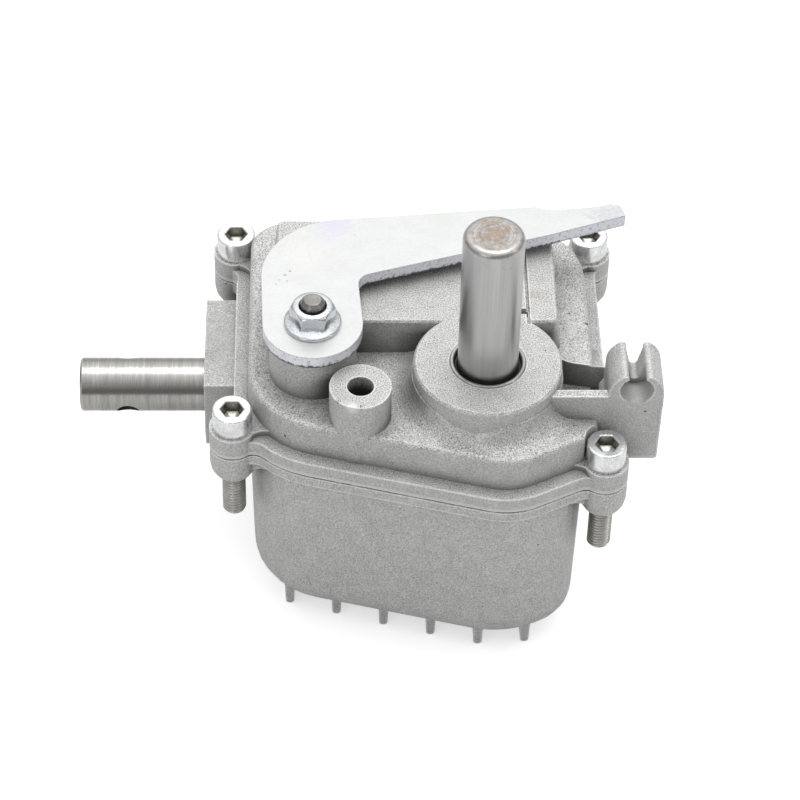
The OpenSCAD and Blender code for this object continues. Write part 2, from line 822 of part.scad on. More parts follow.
module bearing_balls() {
    color("#d0d2d6")
    for (i = [0:ball_count - 1])
        rotate([0, 0, i * 360 / ball_count])
            translate([ball_pitch_r, 0, (bearing_low_z + bearing_top_z) / 2])
                sphere(r = ball_r, $fn = 32);
}

module bearing_cage() {
    mid = (bearing_low_z + bearing_top_z) / 2;
    color(bronze)
    difference() {
        ring(mid - ball_r - cage_rim, mid + ball_r + cage_rim, ball_pitch_r - 0.5, ball_pitch_r + 0.5);
        for (i = [0:ball_count - 1])
            rotate([0, 0, i * 360 / ball_count])
                translate([ball_pitch_r, 0, mid])
                    rotate([0, 90, 0])
                        cylinder(h = 4, r = ball_r + 0.06, center = true, $fn = 32);
    }
}

// Half width of the thread at radius r, measured along the axis
function thread_half(r) = lead / 4 - flank_play - (r - worm_pitch_r) * tan(pressure_angle);

// Thread of the worm: a trapezium carried along a helix, running out at both ends
module worm_thread() {
    per_turn = 24;
    count = ceil(worm_len / lead * per_turn);
    inner = worm_root_r - 0.5;
    section = [for (k = [0:count])
        let (turn = (k - count / 2) * 360 / per_turn, full = min(1, min(k, count - k) / (per_turn / 5)))
        let (tip = worm_root_r + 0.3 + (worm_tip_r - worm_root_r - 0.3) * full, z = worm_z + lead * turn / 360)
        [for (p = [[inner, -1], [tip, -1], [tip, 1], [inner, 1]])
            [-p[0] * sin(turn), p[0] * cos(turn), z + p[1] * thread_half(p[0])]]];
    last = count * 4;
    polyhedron(
        points = [for (s = section) each s],
        faces = concat(
            [[3, 2, 1, 0]],
            [[last, last + 1, last + 2, last + 3]],
            [for (k = [0:count - 1]) for (j = [0:3])
                [k * 4 + j, k * 4 + (j + 1) % 4, (k + 1) * 4 + (j + 1) % 4, (k + 1) * 4 + j]]
        )
    );
}

module worm() {
    color(steel)
    difference() {
        union() {
            worm_thread();
            translate([0, 0, worm_low_z])
                cylinder(h = worm_top_z - worm_low_z - seat_gap, r = worm_root_r, $fn = 96);
        }
        cylinder(h = 300, r = worm_bore_r + seat_gap, center = true, $fn = 64);
        translate([0, 0, worm_low_z + 1.8])
            rotate([0, 90, 0])
                cylinder(h = 40, r = 1.25, center = true, $fn = 32);
    }
}

// Split pin across a shaft
module spring_pin(r, length) {
    difference() {
        cylinder(h = length, r = r, center = true, $fn = 32);
        cylinder(h = length + 1, r = r * 0.55, center = true, $fn = 32);
        translate([0, -r * 0.2, -length])
            cube([2 * r, r * 0.4, 2 * length]);
    }
}

module worm_pin() {
    color(steel)
        translate([0, 0, worm_low_z + 1.8])
            rotate([0, 90, 0])
                spring_pin(1.25 - seat_gap, 2 * worm_root_r - 0.4);
}

module lower_input_bush() {
    color(bronze)
        ring(lower_bush_z - lower_bush_len, lower_bush_z, worm_bore_r + run_gap, worm_bore_r + 2.5 - seat_gap);
}

module lower_thrust_washer() {
    color(steel)
        ring(lower_bush_z + end_play, lower_bush_z + end_play + washer_t, worm_bore_r + 0.1, worm_bore_r + 3.5);
}

// Output line

module output_shaft() {
    spline_from = left_ring_x + ring_t + 1;
    color(steel)
    difference() {
        on_output_axis()
            rotate_extrude($fn = 96)
                polygon([
                    [0, output_tip_x], [output_r - output_chamfer, output_tip_x], [output_r, output_tip_x + output_chamfer],
                    [output_r, block_x], [output_r - 0.2, block_x], [output_r - 0.2, left_bush_x - 0.6],
                    [output_r, left_bush_x - 0.6],
                    [output_r, left_ring_x - 0.02], [output_r - 0.5, left_ring_x - 0.02],
                    [output_r - 0.5, left_ring_x + ring_t], [output_r, left_ring_x + ring_t],
                    [output_r, hub_x - 0.1], [journal_r, hub_x - 0.1],
                    [journal_r, shaft_right_x - 1], [journal_r - 1, shaft_right_x], [0, shaft_right_x]
                ]);
        on_output_axis()
            for (i = [0:spline_count - 1])
                rotate([0, 0, i * 360 / spline_count])
                    translate([output_r - 1.1, -spline_w / 2, spline_from])
                        cube([4, spline_w, hub_x - 0.1 - spline_from - 0.5]);
        translate([output_tip_x + cross_hole_in, axis_y, axis_z])
            rotate([-cross_hole_turn, 0, 0])
                cylinder(h = 30, r = cross_hole_r, center = true, $fn = 48);
    }
}

// Involute function of an angle, in degrees
function involute(a) = tan(a) * 180 / PI - a;

// Half of a tooth space's angle at radius r of the wheel, in degrees
function space_half(r) =
    let (base_r = wheel_pitch_r * cos(pressure_angle), a = acos(min(1, base_r / r)))
    90 / wheel_teeth - involute(pressure_angle) + involute(a);

// Outline of the space between two teeth, on +X
function tooth_space() =
    let (base_r = wheel_pitch_r * cos(pressure_angle))
    let (radii = [wheel_root_r, base_r, wheel_pitch_r + gear_module / 2, wheel_rim_r + 1.5])
    concat(
        [for (r = radii) r * [cos(space_half(r)), -sin(space_half(r))]],
        [for (i = [len(radii) - 1:-1:0]) radii[i] * [cos(space_half(radii[i])), sin(space_half(radii[i]))]]
    );

// Dogs between two heights, round the Z axis
module dogs(low, high, first) {
    for (i = [0:dog_count - 1])
        rotate([0, 0, first + i * 360 / dog_count])
            translate([0, 0, low])
                rotate_extrude(angle = dog_angle, $fn = 96)
                    translate([dog_inner_r, 0])
                        square([dog_outer_r - dog_inner_r, high - low]);
}

// Bronze rim of the worm wheel: a throated ring with inclined involute tooth spaces
module worm_wheel() {
    throat = worm_root_r + tip_gap;
    swing = asin(sqrt(pow(throat, 2) - pow(axis_y - wheel_rim_r, 2)) / throat);
    color(bronze)
    on_output_axis()
        difference() {
            rotate_extrude($fn = 96)
                polygon(concat(
                    [[rim_seat_r, -rim_w / 2], [wheel_rim_r - rim_edge, -rim_w / 2]],
                    [[wheel_rim_r, -rim_w / 2 + rim_edge]],
                    arc([axis_y, 0], throat, 180 + swing, 180 - swing, 6),
                    [[wheel_rim_r, rim_w / 2 - rim_edge], [wheel_rim_r - rim_edge, rim_w / 2]],
                    [[rim_seat_r, rim_w / 2]]
                ));
            for (k = [0:wheel_teeth - 1])
                rotate([0, 0, k * 360 / wheel_teeth])
                    rotate([-lead_angle, 0, 0])
                        linear_extrude(2 * rim_w, center = true)
                            polygon(tooth_space());
        }
}

// Steel hub under the rim, with the dogs that the sleeve engages
module wheel_hub() {
    web = rim_w / 2 - 2;
    color(steel)
    on_output_axis() {
        rotate_extrude($fn = 96)
            polygon([
                [journal_r + run_gap, hub_x], [clutch_r, hub_x], [clutch_r, -web],
                [rim_seat_r - seat_gap, -web], [rim_seat_r - seat_gap, web], [clutch_r, web],
                [clutch_r, hub_right_x], [journal_r + run_gap, hub_right_x]
            ]);
        dogs(hub_x - dog_h, hub_x + 0.5, 180 / dog_count + dog_play / 2);
    }
}

module wheel_thrust_washer() {
    color(steel)
        on_output_axis()
            ring(hub_right_x + end_play, hub_right_x + end_play + washer_t, journal_r + 0.1, journal_r + 5);
}

module clutch_sleeve() {
    color(steel)
    difference() {
        on_output_axis() {
            rotate_extrude($fn = 96)
                polygon([
                    [output_r + run_gap, sleeve_left_x], [clutch_r, sleeve_left_x],
                    [clutch_r, groove_x - groove_w / 2], [groove_r, groove_x - groove_w / 2],
                    [groove_r, groove_x + groove_w / 2], [clutch_r, groove_x + groove_w / 2],
                    [clutch_r, sleeve_face_x], [output_r + run_gap, sleeve_face_x]
                ]);
            dogs(sleeve_face_x - 0.5, sleeve_face_x + dog_h, dog_play / 2);
            for (i = [0:spline_count - 1])
                rotate([0, 0, i * 360 / spline_count])
                    translate([output_r - 0.9, -spline_w / 2 + 0.1, sleeve_left_x + 0.5])
                        cube([1.6, spline_w - 0.2, sleeve_face_x - sleeve_left_x - 1]);
        }
    }
}

module left_output_bush() {
    color(bronze)
        on_output_axis()
            ring(left_bush_x - 0.3, left_face_x, output_r + run_gap, output_r + bush_t - seat_gap);
}

module right_output_bush() {
    color(bronze)
        on_output_axis()
            ring(right_boss_x, right_boss_x + right_bush_len, journal_r + run_gap, journal_r + bush_t - seat_gap);
}

module output_seal() {
    track = output_r - 0.2;
    left = block_x + 0.4;
    color(black_rubber)
        on_output_axis()
            rotate_extrude($fn = 96)
                polygon([
                    [track + 1.2, left], [seal_bore_r - seat_gap, left], [seal_bore_r - seat_gap, left + seal_len],
                    [seal_bore_r - 1.2, left + seal_len], [seal_bore_r - 1.2, left + 1.5],
                    [track + 1.4, left + 1.5], [track + 0.7, left + 4.5], [track + run_gap, left + 3.9]
                ]);
}

module output_retaining_ring() {
    color(steel)
        on_output_axis()
            snap_ring(left_ring_x, output_r - 0.4, output_r + 2.7, 4);
}

module output_thrust_washer() {
    color(steel)
        on_output_axis()
            ring(left_washer_x, left_washer_x + washer_t, output_r + 0.1, output_r + 4.5);
}

// Shift line

module selector_shaft() {
    stud_top = nut_z + 7.9;
    color("#8d9092")
    translate([selector_at.x, selector_at.y, 0])
        difference() {
            rotate_extrude($fn = 64)
                polygon([
                    [0, fork_low_z + 1], [selector_r, fork_low_z + 1], [selector_r, -4.2],
                    [selector_r - 1.4, -4.2], [selector_r - 1.4, -2.2], [selector_r, -2.2],
                    [selector_r, nut_z - 0.4], [screw_r - seat_gap, nut_z - 0.4],
                    [screw_r - seat_gap, stud_top - stud_chamfer], [screw_r - stud_chamfer, stud_top], [0, stud_top]
                ]);
            for (side = [-1, 1])
                translate([side * (lever_flat + 5) - 5, -10, selector_face_z - 0.2])
                    cube([10, 20, nut_z - selector_face_z]);
            translate([0, 0, axis_z - 8])
                rotate([0, 90, 0])
                    cylinder(h = 40, r = 1.5, center = true, $fn = 32);
        }
}

module selector_o_ring() {
    color(black_rubber)
        translate([selector_at.x, selector_at.y, -3.2])
            rotate_extrude($fn = 64)
                translate([selector_r - 0.68, 0])
                    circle(r = 0.68, $fn = 24);
}

// Arm of the fork, from the hub over or under the sleeve to its shoe
module fork_arm(low) {
    translate([0, 0, low])
        linear_extrude(arm_t)
            polygon(concat(
                arc([0, fork_reach], 5, 0, 180, 12),
                [[-6.5, 2], [6.5, 2]]
            ));
}

module shift_fork() {
    color("#9a9c9e")
    translate([selector_at.x, selector_at.y, 0])
        rotate([0, 0, shift_angle / 2])
            difference() {
                union() {
                    translate([0, 0, fork_low_z])
                        cylinder(h = fork_top_z - fork_low_z, r = fork_hub_r, $fn = 64);
                    fork_arm(arm_z);
                    fork_arm(2 * axis_z - arm_z - arm_t);
                }
                translate([0, 0, fork_low_z - 1])
                    cylinder(h = 80, r = selector_r + seat_gap, $fn = 64);
                translate([0, fork_reach, fork_low_z - 1])
                    cylinder(h = 80, r = 2, $fn = 32);
                rotate([0, 0, -shift_angle / 2])
                    translate([0, 0, axis_z - 8])
                        rotate([0, 90, 0])
                            cylinder(h = 40, r = 1.5, center = true, $fn = 32);
            }
}

// Shoe: a round pad in the sleeve's groove, with a shank riveted in the arm
module shoe() {
    rotate_extrude($fn = 64)
        polygon([
            [0, groove_r + 0.3], [groove_w / 2 - 0.15, groove_r + 0.3],
            [groove_w / 2 - 0.15, clutch_r + arm_gap - seat_gap], [2 - seat_gap, clutch_r + arm_gap - seat_gap],
            [2 - seat_gap, clutch_r + arm_gap + arm_t], [0, clutch_r + arm_gap + arm_t]
        ]);
}

module fork_shoes() {
    color(bronze)
    translate([selector_at.x, selector_at.y, axis_z])
        rotate([0, 0, shift_angle / 2])
            translate([0, fork_reach, 0])
                for (side = [0, 1])
                    mirror([0, 0, side])
                        shoe();
}

module fork_pin() {
    color(steel)
        translate([selector_at.x, selector_at.y, axis_z - 8])
            rotate([0, 90, 0])
                spring_pin(1.5 - seat_gap, 2 * fork_hub_r - 0.4);
}

// Torsion spring round the cover's inner boss: one leg on the fork, one on the casing
module return_spring() {
    mean_r = selector_r + 3 + wire_d / 2 + 0.5;
    turns = 3;
    per_turn = 24;
    coil = [for (k = [0:turns * per_turn])
        let (a = 100 + k * 360 / per_turn)
        [mean_r * cos(a), mean_r * sin(a), fork_top_z + 1 + wire_d / 2 + k / per_turn * (wire_d + 0.12)]];
    low = coil[0];
    top = coil[len(coil) - 1];
    path = concat([low + [8, 2, 0]], coil, [top + [-9, -2, 0]]);
    color(zinc)
    translate([selector_at.x, selector_at.y, 0])
        wire(path, wire_d / 2, 8);
}

// Round wire carried along a path of points
module wire(path, r, sides) {
    n = len(path);
    section = [for (i = [0:n - 1])
        let (along = unit(path[min(i + 1, n - 1)] - path[max(i - 1, 0)]), across = unit(cross(along, [0, 0, 1])))
        let (up = cross(across, along))
        [for (j = [0:sides - 1]) path[i] + r * (across * cos(j * 360 / sides) + up * sin(j * 360 / sides))]];
    last = (n - 1) * sides;
    polyhedron(
        points = [for (s = section) each s],
        faces = concat(
            [[for (j = [0:sides - 1]) j]],
            [[for (j = [sides - 1:-1:0]) last + j]],
            [for (i = [0:n - 2]) for (j = [0:sides - 1])
                [i * sides + j, (i + 1) * sides + j, (i + 1) * sides + (j + 1) % sides, i * sides + (j + 1) % sides]]
        )
    );
}

// Lever outline: head round the pivot, elbow, tapering arm, neck and tip
function lever_outline() =
    let (elbow_r = lever_head_r + 8.5, elbow = [elbow_r - lever_head_r - 0.5, 17.2])
    let (corner_r = 4, corner = [lever_head_r + corner_r - 1, 14.1])
    let (neck = [[-23, 43], [-18.5, 41.7], [-9, 42.2]], tip = [[-3.4, 43.2], [-1.8, 42.9], [-0.8, 41.9], [0, 38.7]])
    concat(
        arc([0, 0], lever_head_r, 0, -180, 18),
        arc(elbow, elbow_r, 180, 94, 12),
        [for (p = concat(neck, tip)) [lever_len + p.x, p.y]],
        arc(corner, corner_r, 107.7, 180, 5)
    );

module lever() {
    bend_x = lever_len - 20;
    rise = tan(tip_bend);
    color(zinc)
    translate([selector_at.x, selector_at.y, lever_z])
        difference() {
            intersection() {
                translate([0, 0, -10])
                    linear_extrude(50)
                        polygon(lever_outline());
                translate([0, 100, 0])
                    rotate([90, 0, 0])
                        linear_extrude(200)
                            polygon([
                                [-50, 0], [bend_x, 0], [bend_x + 100, 100 * rise],
                                [bend_x + 100, 100 * rise + lever_t / cos(tip_bend)],
                                [bend_x - lever_t * tan(tip_bend / 2), lever_t], [-50, lever_t]
                            ]);
            }
            intersection() {
                translate([0, 0, -1])
                    cylinder(h = 20, r = selector_r + run_gap, $fn = 64);
                cube([2 * (lever_flat + run_gap), 40, 60], center = true);
            }
        }
}

module lever_nut() {
    color(zinc)
    translate([selector_at.x, selector_at.y, nut_z])
        difference() {
            union() {
                rotate_extrude($fn = 64)
                    polygon([[0, 0], [nut_flange_r, 0], [nut_flange_r, 0.9], [nut_half, 2.2], [0, 2.2]]);
                intersection() {
                    cylinder(h = nut_h, r = nut_half / cos(30), $fn = 6);
                    rotate_extrude($fn = 64)
                        polygon([[0, 0], [nut_half + 1.2, 0], [nut_half + 1.2, nut_h - 1.1], [nut_half - 0.5, nut_h], [0, nut_h]]);
                }
            }
            translate([0, 0, -1])
                cylinder(h = nut_h + 2, r = screw_r, $fn = 48);
            translate([0, 0, nut_h - nut_sink])
                cylinder(h = nut_sink + 0.1, r1 = screw_r, r2 = screw_r + nut_sink + 0.1, $fn = 48);
        }
}

upper_casing();
lower_casing();
casing_gasket();
casing_screws();
input_shaft();
input_seal_ring();
input_seal();
shaft_retaining_ring();
bearing_outer_ring();
bearing_inner_ring();
bearing_balls();
bearing_cage();
bearing_retaining_ring();
worm();
worm_pin();
lower_input_bush();
lower_thrust_washer();
output_shaft();
worm_wheel();
wheel_hub();
wheel_thrust_washer();
clutch_sleeve();
left_output_bush();
right_output_bush();
output_seal();
output_retaining_ring();
output_thrust_washer();
selector_shaft();
selector_o_ring();
shift_fork();
fork_shoes();
fork_pin();
return_spring();
lever();
lever_nut();
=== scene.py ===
"""Worm gearbox with a shift lever: the looks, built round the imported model."""
import math

import bpy
import numpy as np
from mathutils import Matrix, Vector


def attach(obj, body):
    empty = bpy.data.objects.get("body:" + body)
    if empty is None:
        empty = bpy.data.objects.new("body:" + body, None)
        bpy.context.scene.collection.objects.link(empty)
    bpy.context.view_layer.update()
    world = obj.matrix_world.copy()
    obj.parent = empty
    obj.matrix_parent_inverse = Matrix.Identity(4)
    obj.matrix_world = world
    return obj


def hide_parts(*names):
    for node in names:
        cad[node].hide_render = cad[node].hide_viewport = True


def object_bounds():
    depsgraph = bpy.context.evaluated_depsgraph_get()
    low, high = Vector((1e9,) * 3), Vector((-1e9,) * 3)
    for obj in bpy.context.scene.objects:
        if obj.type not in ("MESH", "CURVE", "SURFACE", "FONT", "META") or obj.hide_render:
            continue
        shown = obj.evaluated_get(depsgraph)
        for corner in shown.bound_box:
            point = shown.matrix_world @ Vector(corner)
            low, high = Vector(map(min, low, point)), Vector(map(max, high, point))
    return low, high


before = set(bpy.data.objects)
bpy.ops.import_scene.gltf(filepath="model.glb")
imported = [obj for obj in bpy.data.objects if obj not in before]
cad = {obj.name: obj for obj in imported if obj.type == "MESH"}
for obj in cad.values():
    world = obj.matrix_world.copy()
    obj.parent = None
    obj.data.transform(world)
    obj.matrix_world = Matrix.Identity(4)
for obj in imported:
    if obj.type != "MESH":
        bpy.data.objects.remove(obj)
cad_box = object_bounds()

# The view: a long lens in front of the gearbox and well above it, turned slightly to the right. The scene is in
# metres, with the input shaft's axis on Z and the rim of the main boss at height 0.
focal_px = 3150.0
photo_px = 800.0
eye = Vector((-0.0414, -0.5539, 0.5443))
look_down = math.radians(45.2)
turn_right = math.radians(1.4548)

lens = bpy.data.cameras.new("view")
lens.sensor_width = 36.0
lens.lens = focal_px / photo_px * lens.sensor_width
lens.clip_start, lens.clip_end = 0.05, 20.0
camera = bpy.data.objects.new("view", lens)
bpy.context.collection.objects.link(camera)
bpy.context.scene.camera = camera

level_right = Vector((1, 0, 0))
ahead = Vector((0, math.cos(look_down), -math.sin(look_down)))
above = Vector((0, math.sin(look_down), math.cos(look_down)))
forward = ahead * math.cos(turn_right) + level_right * math.sin(turn_right)
rightward = level_right * math.cos(turn_right) - ahead * math.sin(turn_right)
camera.matrix_world = Matrix.Translation(eye) @ Matrix((rightward, above, -forward)).transposed().to_4x4()

bpy.context.scene.view_settings.view_transform = "Standard"

# Studio: a white table under the fins, a soft box overhead and a little behind, and a room that grows darker
# towards the horizon in front, which is what draws the dark bands on the bright metal. The eye sees plain white.
overhead = Vector((0.0, 0.34, 0.94))
horizon_light, overhead_light, box_falloff = 0.14, 1.50, 1.5
table_tone, table_roughness, table_glow = 0.68, 0.9, 0.60
room_in_gloss, table_in_gloss = 0.06, 0.2


def node(tree, kind, inputs=None, **settings):
    """One shader node. Each input is given as a value, or as the socket that feeds it."""
    made = tree.nodes.new(kind)
    for key, value in settings.items():
        setattr(made, key, value)
    for key, value in (inputs or {}).items():
        if isinstance(value, bpy.types.NodeSocket):
            tree.links.new(value, made.inputs[key])
        else:
            made.inputs[key].default_value = value
    return made


def calc(tree, operation, *inputs, clamp=False):
    """Output of one Math node over numbers or sockets."""
    return node(tree, "ShaderNodeMath", dict(enumerate(inputs)), operation=operation, use_clamp=clamp).outputs[0]


def principled(name, metallic, roughness):
    """New material, its tree and its Principled BSDF."""
    made = bpy.data.materials.new(name)
    made.use_nodes = True
    bsdf = made.node_tree.nodes["Principled BSDF"]
    bsdf.inputs["Metallic"].default_value = metallic
    bsdf.inputs["Roughness"].default_value = roughness
    return made, made.node_tree, bsdf


def seen_white(tree, in_gloss):
    """1 for rays from the eye, in_gloss for mirrored and passed-on rays, 0 for light that falls on surfaces."""
    path = node(tree, "ShaderNodeLightPath").outputs
    mirrored = calc(tree, "MAXIMUM", path["Is Glossy Ray"], path["Is Transmission Ray"])
    return calc(tree, "MAXIMUM", path["Is Camera Ray"], calc(tree, "MULTIPLY", mirrored, in_gloss))


world = bpy.data.worlds.new("studio")
world.use_nodes = True
bpy.context.scene.world = world
sky = world.node_tree
toward = node(sky, "ShaderNodeTexCoord").outputs["Generated"]
near_box = node(sky, "ShaderNodeVectorMath", {0: toward, 1: overhead}, operation="DOT_PRODUCT").outputs["Value"]
box = calc(sky, "POWER", calc(sky, "MAXIMUM", near_box, 0.0), box_falloff)
room = calc(sky, "MULTIPLY_ADD", box, overhead_light, horizon_light)
strength = node(sky, "ShaderNodeMix", {"Factor": seen_white(sky, room_in_gloss), "A": room, "B": 1.0})
sky.links.new(strength.outputs["Result"], sky.nodes["Background"].inputs["Strength"])
sky.nodes["Background"].inputs["Color"].default_value = (1, 1, 1, 1)


def soft_light(name, place, width, height, watts):
    """Rectangular area light at place, facing the gearbox."""
    data = bpy.data.lights.new(name, "AREA")
    data.shape = "RECTANGLE"
    data.size, data.size_y, data.energy = width, height, watts
    lamp = bpy.data.objects.new(name, data)
    lamp.location = place
    lamp.rotation_mode = "QUATERNION"
    lamp.rotation_quaternion = (-Vector(place)).to_track_quat("-Z", "Y")
    bpy.context.collection.objects.link(lamp)


soft_light("top_light", (0.10, 0.28, 1.10), width=0.8, height=0.6, watts=3.6)
soft_light("front_light", (-0.60, -0.90, 0.50), width=0.5, height=0.6, watts=1.4)
soft_light("side_light", (0.95, -0.20, 0.55), width=0.3, height=0.6, watts=0.7)

floor_gap, floor_reach = 0.0002, 4
floor_z = cad_box[0].z - floor_gap
floor_corners = [(x * floor_reach, y * floor_reach, floor_z) for x, y in ((-1, -1), (1, -1), (1, 1), (-1, 1))]
floor_mesh = bpy.data.meshes.new("floor")
floor_mesh.from_pydata(floor_corners, [], [(0, 1, 2, 3)])
floor = bpy.data.objects.new("floor", floor_mesh)
bpy.context.collection.objects.link(floor)
paper, tree, bsdf = principled("paper", 0.0, table_roughness)
bsdf.inputs["Base Color"].default_value = (table_tone, table_tone, table_tone, 1)
bsdf.inputs["Specular IOR Level"].default_value = 0.0
bsdf.inputs["Emission Color"].default_value = (1, 1, 1, 1)
glow = calc(tree, "MULTIPLY", seen_white(tree, table_in_gloss), table_glow)
tree.links.new(glow, bsdf.inputs["Emission Strength"])
floor.data.materials.append(paper)

# Castings: cover and pan, die-cast aluminium that was shot-blasted. The shot leaves upper faces paler and coarser
# than walls. Both have small dark pits, and outer edges painted paler, partly as rubbed metal and partly as painted
# highlight, and painted shade darkens their corners. The dark line between them is the sealing compound of their
# joint, and painted lines of highlight and shade run along the cover's flange above it. Places and sizes of marks
# are in millimetres.
mm = 0.001
corner_samples = 6


def remap(tree, value, start, end, low=0.0, high=1.0):
    """The value carried over from start...end to low...high, and held within them."""
    return node(tree, "ShaderNodeMapRange", {"Value": value, "From Min": start, "From Max": end,
                                             "To Min": low, "To Max": high}).outputs[0]


def place_on_piece(tree):
    """Place on the piece, in metres."""
    return node(tree, "ShaderNodeTexCoord").outputs["Object"]


def z_of(tree, vector):
    """Upward component of a vector."""
    return node(tree, "ShaderNodeSeparateXYZ", {0: vector}).outputs["Z"]


def upwardness(tree):
    """1 on faces that look straight up, 0 on walls."""
    return z_of(tree, node(tree, "ShaderNodeNewGeometry").outputs["Normal"])


def blend_colour(tree, factor, first, second, how="MIX"):
    """Mix of two colours; each is three numbers or a socket."""
    first, second = ((*colour, 1) if isinstance(colour, tuple) else colour for colour in (first, second))
    return node(tree, "ShaderNodeMix", {0: factor, 6: first, 7: second}, data_type="RGBA", blend_type=how).outputs[2]


def group(name, inputs, outputs):
    """Empty node group with number or vector sockets, with its input and output nodes."""
    made = bpy.data.node_groups.new(name, "ShaderNodeTree")
    for kind, sockets in (("INPUT", inputs), ("OUTPUT", outputs)):
        for label, default in sockets.items():
            socket = "NodeSocketVector" if isinstance(default, tuple) else "NodeSocketFloat"
            made.interface.new_socket(label, in_out=kind, socket_type=socket).default_value = default
    return made, node(made, "NodeGroupInput").outputs, node(made, "NodeGroupOutput").inputs


def placed(tree, shared, inputs):
    """Outputs of a shared group that is put into a material's tree."""
    made = tree.nodes.new("ShaderNodeGroup")
    made.node_tree = shared
    for key, value in inputs.items():
        made.inputs[key].default_value = value
    return made.outputs


def blasted_grain():
    """Grain of a blasted casting, in millimetres: fine lumps, soft mottling and a few deep pits."""
    tree, given, result = group("blasted_grain", {"Grain": 0.5, "Mottle": 3.5, "Pit spacing": 5.0},
                                {"Height": 0.0, "Shade": 0.0, "Pits": 0.0})
    place = place_on_piece(tree)
    grain, mottle, spacing = (calc(tree, "DIVIDE", 1 / mm, given[label])
                              for label in ("Grain", "Mottle", "Pit spacing"))
    lumps = node(tree, "ShaderNodeTexNoise", {"Vector": place, "Scale": grain, "Detail": 2.0, "Roughness": 0.7})
    clouds = node(tree, "ShaderNodeTexNoise", {"Vector": place, "Scale": mottle, "Detail": 4.0})
    cells = node(tree, "ShaderNodeTexVoronoi", {"Vector": place, "Scale": spacing})
    pit_size = remap(tree, cells.outputs["Color"], 0.45, 1.0, 0.0, 0.075)
    pits = calc(tree, "LESS_THAN", cells.outputs["Distance"], pit_size)
    cloud_share, pit_height = 0.12, -1.2
    shade = node(tree, "ShaderNodeMix", {"Factor": cloud_share, "A": lumps.outputs[0], "B": clouds.outputs[0]})
    tree.links.new(shade.outputs["Result"], result["Shade"])
    tree.links.new(calc(tree, "MULTIPLY_ADD", pits, pit_height, lumps.outputs[0]), result["Height"])
    tree.links.new(pits, result["Pits"])
    return tree


def worn_and_highlit_edges():
    """Mask of outer edges, where rays cast into the piece soon leave it, which are painted paler as rubbed metal and
    as painted highlight, and the normal that rounds all edges off within the same radius, in millimetres."""
    tree, given, result = group("worn_and_highlit_edges", {"Radius": 0.4, "Strength": 2.0}, {"Mask": 0.0, "Normal": (0, 0, 0)})
    reach = calc(tree, "MULTIPLY", given["Radius"], mm)
    rounded = node(tree, "ShaderNodeBevel", {"Radius": reach}, samples=corner_samples)
    depth = node(tree, "ShaderNodeAmbientOcclusion", {"Distance": reach}, samples=corner_samples, inside=True,
                 only_local=True)
    thin = calc(tree, "SUBTRACT", 1.0, depth.outputs["AO"])
    tree.links.new(calc(tree, "MULTIPLY", thin, given["Strength"], clamp=True), result["Mask"])
    tree.links.new(rounded.outputs[0], result["Normal"])
    return tree


def painted_corner_shade():
    """Mask of painted shade in corners and pockets: how much of the view the piece's own walls cover within a
    distance, in millimetres."""
    tree, given, result = group("painted_corner_shade", {"Reach": 12.0, "Strength": 1.0}, {"Mask": 0.0})
    open_view = node(tree, "ShaderNodeAmbientOcclusion", {"Distance": calc(tree, "MULTIPLY", given["Reach"], mm)},
                     samples=corner_samples, only_local=True)
    covered = remap(tree, open_view.outputs["AO"], 0.85, 0.3)
    tree.links.new(calc(tree, "MULTIPLY", covered, given["Strength"]), result["Mask"])
    return tree


grain_group, worn_and_highlit_group, painted_corner_shade_group = blasted_grain(), worn_and_highlit_edges(), painted_corner_shade()


def stains_and_painted_light(tree, colour, shade, marks):
    """Colour with ragged stains, scuffs and chips, and with patches of painted shade and painted light, each given
    as (x, y, z, radius, strength, tint), in mm. The shade of the grain, times four radii, is added to the distance
    and so makes the outline ragged."""
    place = place_on_piece(tree)
    for x, y, z, radius, strong, tint in marks:
        size = radius * mm
        gap = node(tree, "ShaderNodeVectorMath", {0: place, 1: (x * mm, y * mm, z * mm)}, operation="DISTANCE")
        ragged = calc(tree, "MULTIPLY_ADD", shade, 4 * size, gap.outputs["Value"])
        colour = blend_colour(tree, remap(tree, ragged, 2.3 * size, 3 * size, strong, 0.0), colour, tint)
    return colour


